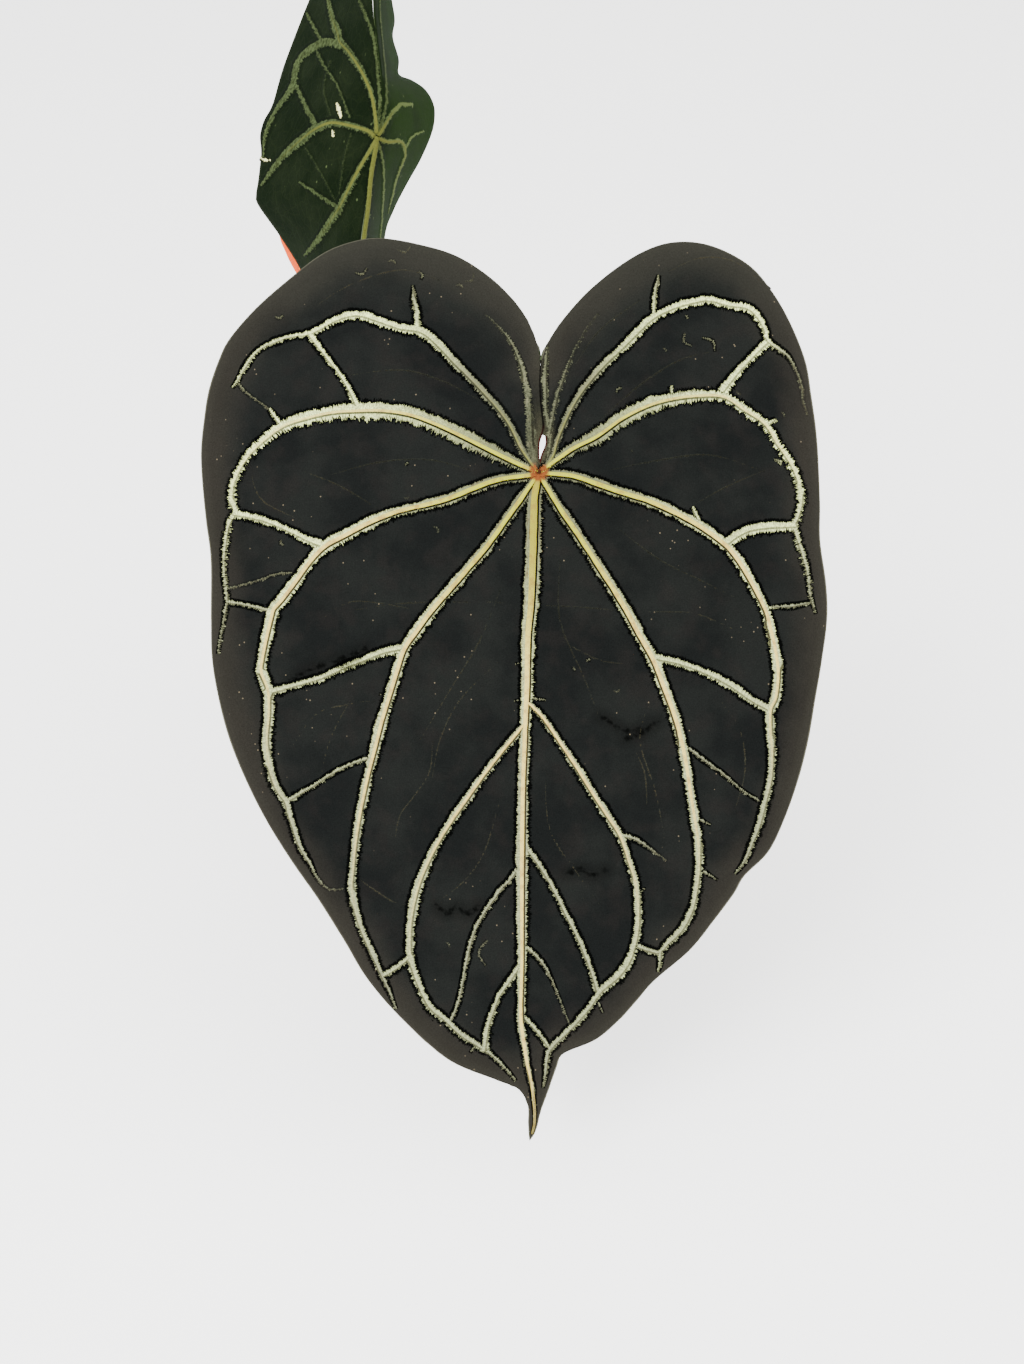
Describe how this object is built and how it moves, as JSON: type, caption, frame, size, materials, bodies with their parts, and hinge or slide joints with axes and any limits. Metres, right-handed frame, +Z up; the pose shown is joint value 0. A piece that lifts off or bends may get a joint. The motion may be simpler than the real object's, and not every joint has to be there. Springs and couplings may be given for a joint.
{
  "type": "potted anthurium hybrid",
  "caption": "Velvet-leaved anthurium hybrid with dark heart-shaped blades and a raised silver vein net, growing in bark mix in a plain round clay pot.",
  "frame": {"origin": "middle of the pot's flat underside, on the surface that the pot stands on", "axes": "+Z up, +Y away from the side that the front leaf faces, +X to that side's right"},
  "size_m": [0.2158, 0.3633, 0.3515],
  "materials": {
    "clay": "unglazed fired clay, matt, with a little pale mineral bloom",
    "bark": "loose bark mix, rough and matt",
    "stem": "short green-brown stem with pale leaf scars and cord-like roots",
    "sheath": "dry papery leaf sheath, finely ribbed",
    "stalk": "smooth green leaf stalk with a slight wax sheen",
    "velvet": "near-black velvet leaf face, very matt",
    "silver": "silver-cream vein bands with yellow to orange cores",
    "green": "deep green velvet leaf face",
    "pale": "pale green raised veins",
    "copper": "soft new leaf, copper-orange with a thin sheen",
    "amber": "pale orange raised veins"
  },
  "bodies": {
    "root": {"pot": "clay", "substrate": "bark", "stem": "stem", "cataphyll_right": "sheath", "cataphyll_left": "sheath", "front_petiole": "stalk", "front_blade": "velvet", "front_veins": "silver", "back_petiole": "stalk", "back_blade": "green", "back_veins": "pale", "young_petiole": "stalk", "young_blade": "copper", "young_veins": "amber"}
  },
  "joints": []
}
